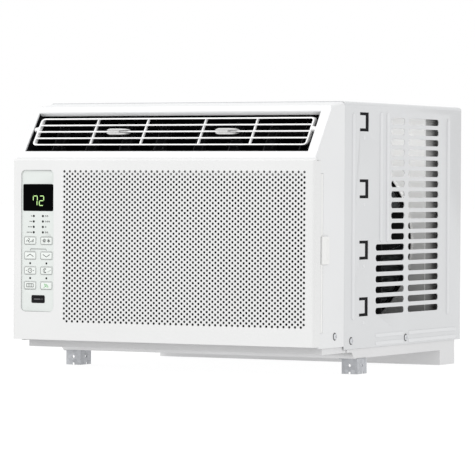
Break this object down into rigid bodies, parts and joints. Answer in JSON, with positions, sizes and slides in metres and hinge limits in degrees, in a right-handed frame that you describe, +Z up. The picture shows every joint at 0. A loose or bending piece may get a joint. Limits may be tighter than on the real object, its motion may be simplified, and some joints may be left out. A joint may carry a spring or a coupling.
{
  "type": "window air conditioner",
  "caption": "Compact window air conditioner with a perforated intake panel, sloped discharge louvres, key strip, slide-out filter and slotted steel cabinet.",
  "frame": {"origin": "centre of the footprint, on the surface that the sill brackets and the sump stand on", "axes": "+X to the right seen from the room, +Y towards the outdoor side, +Z up"},
  "size_m": [0.47, 0.483, 0.3725],
  "materials": {
    "panel_white": "satin moulded",
    "strip_white": "satin",
    "window_black": "gloss",
    "board_green": "solder mask",
    "digit_green": "lit",
    "led_clear": "clear",
    "housing_white": "fine moulded grain",
    "rubber_black": "matt",
    "duct_black": "matt",
    "louvre_white": "satin",
    "fin_aluminium": "bare fins",
    "copper": "bare copper",
    "foam_black": "closed-cell foam",
    "foam_white": "expanded foam",
    "fan_black": "moulded",
    "steel_bright": "ground",
    "motor_steel": "rolled steel can",
    "galvanised": "zinc spangle",
    "shroud_grey": "moulded",
    "compressor_black": "enamel",
    "can_aluminium": "drawn",
    "pan_paint": "satin powder coat",
    "cabinet_paint": "fine powder coat",
    "screw_zinc": "zinc plated",
    "filter_plastic": "moulded",
    "filter_net": "woven net",
    "tab_grey": "moulded",
    "vane_grey": "moulded",
    "key_white": "satin",
    "key_black": "gloss"
  },
  "bodies": {
    "root": {"front_panel": "panel_white", "panel_screen": "panel_white", "control_bezel": "strip_white", "display_lens": "window_black", "display_board": "board_green", "display_digits": "digit_green", "indicator_leds": "led_clear", "front_housing": "housing_white", "cord_gland": "rubber_black", "discharge_duct": "duct_black", "evaporator_fins": "fin_aluminium", "evaporator_tubes": "copper", "condenser_fins": "fin_aluminium", "condenser_tubes": "copper", "coil_seal": "foam_black", "blower_scroll": "foam_white", "air_channel": "foam_white", "bulkhead": "foam_white", "fan_motor": "motor_steel", "motor_bracket": "galvanised", "fan_shroud": "shroud_grey", "compressor": "compressor_black", "compressor_grommets": "rubber_black", "refrigerant_lines": "copper", "control_box": "galvanised", "power_board": "board_green", "run_capacitor": "can_aluminium", "base_pan": "pan_paint", "cabinet_shell": "cabinet_paint", "sill_bracket_left": "galvanised", "sill_bracket_right": "galvanised", "cabinet_screws": "screw_zinc", "bracket_screws": "screw_zinc"},
    "louvres": {"louvre_frame": "louvre_white"},
    "tab_left": {"vane_tab_left": "tab_grey"},
    "link_left": {"vane_link_left": "vane_grey"},
    "vane_left_1_body": {"vane_left_1": "vane_grey"},
    "vane_left_2_body": {"vane_left_2": "vane_grey"},
    "vane_left_3_body": {"vane_left_3": "vane_grey"},
    "vane_left_4_body": {"vane_left_4": "vane_grey"},
    "tab_right": {"vane_tab_right": "tab_grey"},
    "link_right": {"vane_link_right": "vane_grey"},
    "vane_right_1_body": {"vane_right_1": "vane_grey"},
    "vane_right_2_body": {"vane_right_2": "vane_grey"},
    "vane_right_3_body": {"vane_right_3": "vane_grey"},
    "vane_right_4_body": {"vane_right_4": "vane_grey"},
    "filter": {"filter_frame": "filter_plastic", "filter_mesh": "filter_net"},
    "fan_speed_key": {"button_fan_speed": "key_white"},
    "mode_key": {"button_mode": "key_white"},
    "up_key": {"button_up": "key_white"},
    "down_key": {"button_down": "key_white"},
    "timer_key": {"button_timer": "key_white"},
    "sleep_key": {"button_sleep": "key_white"},
    "filter_key": {"button_filter": "key_white"},
    "eco_key": {"button_eco": "key_white"},
    "power_key": {"button_power": "key_black"},
    "rotor": {"motor_shaft": "steel_bright", "blower_wheel": "fan_black", "condenser_fan": "fan_black"}
  },
  "joints": [
    {"name": "louvre_tilt", "type": "hinge", "parent": "root", "child": "louvres", "pos_m": [-0.003, -0.20002, 0.33362], "axis": [1, 0, 0], "range_deg": [-15, 15]},
    {"name": "tab_left_slide", "type": "slide", "parent": "louvres", "child": "tab_left", "axis": [1, 0, 0], "range_m": [-0.0076, 0.0076]},
    {"name": "link_left_slide", "type": "slide", "parent": "root", "child": "link_left", "axis": [1, 0, 0], "range_m": [-0.0036, 0.0036]},
    {"name": "vane_left_1_turn", "type": "hinge", "parent": "root", "child": "vane_left_1_body", "pos_m": [-0.1945, -0.17693, 0.30917], "axis": [0, 0.5807, 0.8141], "range_deg": [-25, 25]},
    {"name": "vane_left_2_turn", "type": "hinge", "parent": "root", "child": "vane_left_2_body", "pos_m": [-0.1405, -0.17693, 0.30917], "axis": [0, 0.5807, 0.8141], "range_deg": [-25, 25]},
    {"name": "vane_left_3_turn", "type": "hinge", "parent": "root", "child": "vane_left_3_body", "pos_m": [-0.0865, -0.17693, 0.30917], "axis": [0, 0.5807, 0.8141], "range_deg": [-25, 25]},
    {"name": "vane_left_4_turn", "type": "hinge", "parent": "root", "child": "vane_left_4_body", "pos_m": [-0.0325, -0.17693, 0.30917], "axis": [0, 0.5807, 0.8141], "range_deg": [-25, 25]},
    {"name": "tab_right_slide", "type": "slide", "parent": "louvres", "child": "tab_right", "axis": [1, 0, 0], "range_m": [-0.0076, 0.0076]},
    {"name": "link_right_slide", "type": "slide", "parent": "root", "child": "link_right", "axis": [1, 0, 0], "range_m": [-0.0036, 0.0036]},
    {"name": "vane_right_1_turn", "type": "hinge", "parent": "root", "child": "vane_right_1_body", "pos_m": [0.03, -0.17693, 0.30917], "axis": [0, 0.5807, 0.8141], "range_deg": [-25, 25]},
    {"name": "vane_right_2_turn", "type": "hinge", "parent": "root", "child": "vane_right_2_body", "pos_m": [0.084, -0.17693, 0.30917], "axis": [0, 0.5807, 0.8141], "range_deg": [-25, 25]},
    {"name": "vane_right_3_turn", "type": "hinge", "parent": "root", "child": "vane_right_3_body", "pos_m": [0.138, -0.17693, 0.30917], "axis": [0, 0.5807, 0.8141], "range_deg": [-25, 25]},
    {"name": "vane_right_4_turn", "type": "hinge", "parent": "root", "child": "vane_right_4_body", "pos_m": [0.192, -0.17693, 0.30917], "axis": [0, 0.5807, 0.8141], "range_deg": [-25, 25]},
    {"name": "filter_slide", "type": "slide", "parent": "root", "child": "filter", "axis": [1, 0, 0], "range_m": [0, 0.38]},
    {"name": "fan_speed_press", "type": "slide", "parent": "root", "child": "fan_speed_key", "axis": [0, 1, 0], "range_m": [0, 0.0007], "stiffness_N_per_m": 1200, "springref_m": -0.0003},
    {"name": "mode_press", "type": "slide", "parent": "root", "child": "mode_key", "axis": [0, 1, 0], "range_m": [0, 0.0007], "stiffness_N_per_m": 1200, "springref_m": -0.0003},
    {"name": "up_press", "type": "slide", "parent": "root", "child": "up_key", "axis": [0, 1, 0], "range_m": [0, 0.0007], "stiffness_N_per_m": 1200, "springref_m": -0.0003},
    {"name": "down_press", "type": "slide", "parent": "root", "child": "down_key", "axis": [0, 1, 0], "range_m": [0, 0.0007], "stiffness_N_per_m": 1200, "springref_m": -0.0003},
    {"name": "timer_press", "type": "slide", "parent": "root", "child": "timer_key", "axis": [0, 1, 0], "range_m": [0, 0.0007], "stiffness_N_per_m": 1200, "springref_m": -0.0003},
    {"name": "sleep_press", "type": "slide", "parent": "root", "child": "sleep_key", "axis": [0, 1, 0], "range_m": [0, 0.0007], "stiffness_N_per_m": 1200, "springref_m": -0.0003},
    {"name": "filter_press", "type": "slide", "parent": "root", "child": "filter_key", "axis": [0, 1, 0], "range_m": [0, 0.0007], "stiffness_N_per_m": 1200, "springref_m": -0.0003},
    {"name": "eco_press", "type": "slide", "parent": "root", "child": "eco_key", "axis": [0, 1, 0], "range_m": [0, 0.0007], "stiffness_N_per_m": 1200, "springref_m": -0.0003},
    {"name": "power_press", "type": "slide", "parent": "root", "child": "power_key", "axis": [0, 1, 0], "range_m": [0, 0.0007], "stiffness_N_per_m": 1200, "springref_m": -0.0003},
    {"name": "fan_spin", "type": "hinge", "parent": "root", "child": "rotor", "pos_m": [0.06, 0.0565, 0.179], "axis": [0, 1, 0], "continuous": true}
  ],
  "couplings": [
    {"joint": "link_left_slide", "follows": "tab_left_slide", "ratio": -0.45714},
    {"joint": "vane_left_1_turn", "follows": "tab_left_slide", "rad_per_m": 57.143},
    {"joint": "vane_left_2_turn", "follows": "tab_left_slide", "rad_per_m": 57.143},
    {"joint": "vane_left_3_turn", "follows": "tab_left_slide", "rad_per_m": 57.143},
    {"joint": "vane_left_4_turn", "follows": "tab_left_slide", "rad_per_m": 57.143},
    {"joint": "link_right_slide", "follows": "tab_right_slide", "ratio": -0.45714},
    {"joint": "vane_right_1_turn", "follows": "tab_right_slide", "rad_per_m": 57.143},
    {"joint": "vane_right_2_turn", "follows": "tab_right_slide", "rad_per_m": 57.143},
    {"joint": "vane_right_3_turn", "follows": "tab_right_slide", "rad_per_m": 57.143},
    {"joint": "vane_right_4_turn", "follows": "tab_right_slide", "rad_per_m": 57.143}
  ]
}
